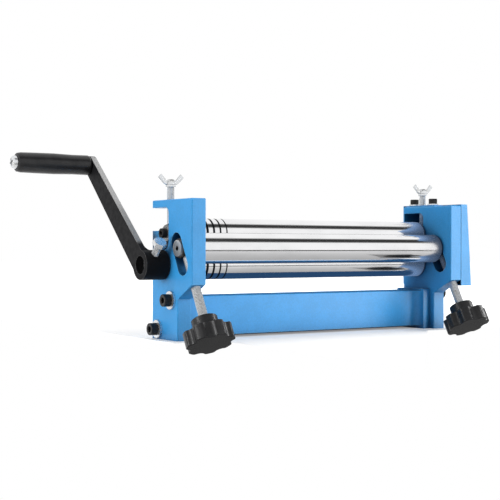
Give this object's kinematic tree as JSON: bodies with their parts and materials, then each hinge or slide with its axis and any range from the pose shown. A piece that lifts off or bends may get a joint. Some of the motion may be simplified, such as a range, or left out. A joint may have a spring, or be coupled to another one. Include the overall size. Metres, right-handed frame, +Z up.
{
  "type": "slip roll machine",
  "caption": "Hand-cranked bench slip roll for sheet metal: geared rear rolls, an adjustable front bending roll, wire grooves, blue frames on a cast beam.",
  "frame": {"origin": "middle of the base on the bench plane: mid-width between the frames, mid-depth of the feet", "axes": "+X along the rolls away from the crank, +Y to the back, +Z up"},
  "size_m": [0.4976, 0.2375, 0.209],
  "materials": {
    "blue_paint": "satin powder coat on cast iron",
    "chrome_roll": "ground and polished",
    "black_cast_iron": "satin black",
    "black_steel": "black oxide",
    "black_bush": "black oxide",
    "zinc_steel": "zinc plated",
    "gear_steel": "machined",
    "black_plastic": "satin"
  },
  "bodies": {
    "machine_frame": {"left_frame": "blue_paint", "right_frame": "blue_paint", "base_beam": "blue_paint", "base_bolts": "black_steel", "base_washers": "zinc_steel", "gear_cover": "blue_paint", "cover_screws": "black_steel", "cover_washers": "zinc_steel", "left_lower_bush": "black_bush", "right_lower_bush": "black_bush"},
    "drive_roll": {"lower_roll": "chrome_roll", "lower_gear": "gear_steel", "lower_gear_key": "gear_steel", "crank_arm": "black_cast_iron", "crank_set_bolt": "zinc_steel", "handle_screw": "zinc_steel"},
    "crank_grip": {"handle_grip": "black_plastic"},
    "pinch_bearings": {"left_upper_bearing": "black_bush", "right_upper_bearing": "black_bush"},
    "pinch_roll": {"upper_roll": "chrome_roll", "upper_gear": "gear_steel", "upper_gear_key": "gear_steel", "upper_roll_screw": "black_steel", "upper_roll_washer": "zinc_steel"},
    "left_wing": {"left_wing_screw": "zinc_steel"},
    "right_wing": {"right_wing_screw": "zinc_steel"},
    "bending_bushes": {"left_front_bush": "black_bush", "right_front_bush": "black_bush"},
    "bending_roll": {"front_roll": "chrome_roll"},
    "left_adjuster": {"left_adjusting_screw": "zinc_steel", "left_star_knob": "black_plastic"},
    "right_adjuster": {"right_adjusting_screw": "zinc_steel", "right_star_knob": "black_plastic"}
  },
  "joints": [
    {"name": "crank_spin", "type": "hinge", "parent": "machine_frame", "child": "drive_roll", "pos_m": [0, 0.002, 0.0775], "axis": [1, 0, 0], "continuous": true},
    {"name": "grip_spin", "type": "hinge", "parent": "drive_roll", "child": "crank_grip", "pos_m": [0, 0.12501, 0.18672], "axis": [1, 0, 0], "continuous": true},
    {"name": "pinch_lift", "type": "slide", "parent": "machine_frame", "child": "pinch_bearings", "axis": [0, 0, 1], "range_m": [-0.00069, 0.00299]},
    {"name": "pinch_roll_spin", "type": "hinge", "parent": "pinch_bearings", "child": "pinch_roll", "pos_m": [0, 0.002, 0.1103], "axis": [1, 0, 0], "continuous": true},
    {"name": "left_wing_turn", "type": "hinge", "parent": "pinch_bearings", "child": "left_wing", "pos_m": [-0.17325, 0.002, 0.15], "axis": [0, 0, 1], "range_deg": [-201, 861]},
    {"name": "right_wing_turn", "type": "hinge", "parent": "pinch_bearings", "child": "right_wing", "pos_m": [0.17325, 0.002, 0.15], "axis": [0, 0, 1], "range_deg": [-201, 861]},
    {"name": "bend_adjust", "type": "slide", "parent": "machine_frame", "child": "bending_bushes", "axis": [0, 0.4772, 0.8788], "range_m": [-0.01875, 0.00148]},
    {"name": "bending_roll_spin", "type": "hinge", "parent": "bending_bushes", "child": "bending_roll", "pos_m": [0, -0.0281, 0.09465], "axis": [1, 0, 0], "continuous": true},
    {"name": "left_adjuster_turn", "type": "hinge", "parent": "bending_bushes", "child": "left_adjuster", "pos_m": [-0.17325, -0.0281, 0.09465], "axis": [0, 0.4772, 0.8788], "range_deg": [-4501, 356]},
    {"name": "right_adjuster_turn", "type": "hinge", "parent": "bending_bushes", "child": "right_adjuster", "pos_m": [0.17325, -0.0281, 0.09465], "axis": [0, 0.4772, 0.8788], "range_deg": [-4501, 356]}
  ],
  "couplings": [
    {"joint": "pinch_roll_spin", "follows": "crank_spin", "ratio": -1},
    {"joint": "left_wing_turn", "follows": "pinch_lift", "rad_per_m": 5026.5},
    {"joint": "right_wing_turn", "follows": "pinch_lift", "rad_per_m": 5026.5},
    {"joint": "left_adjuster_turn", "follows": "bend_adjust", "rad_per_m": 4188.8},
    {"joint": "right_adjuster_turn", "follows": "bend_adjust", "rad_per_m": 4188.8}
  ]
}
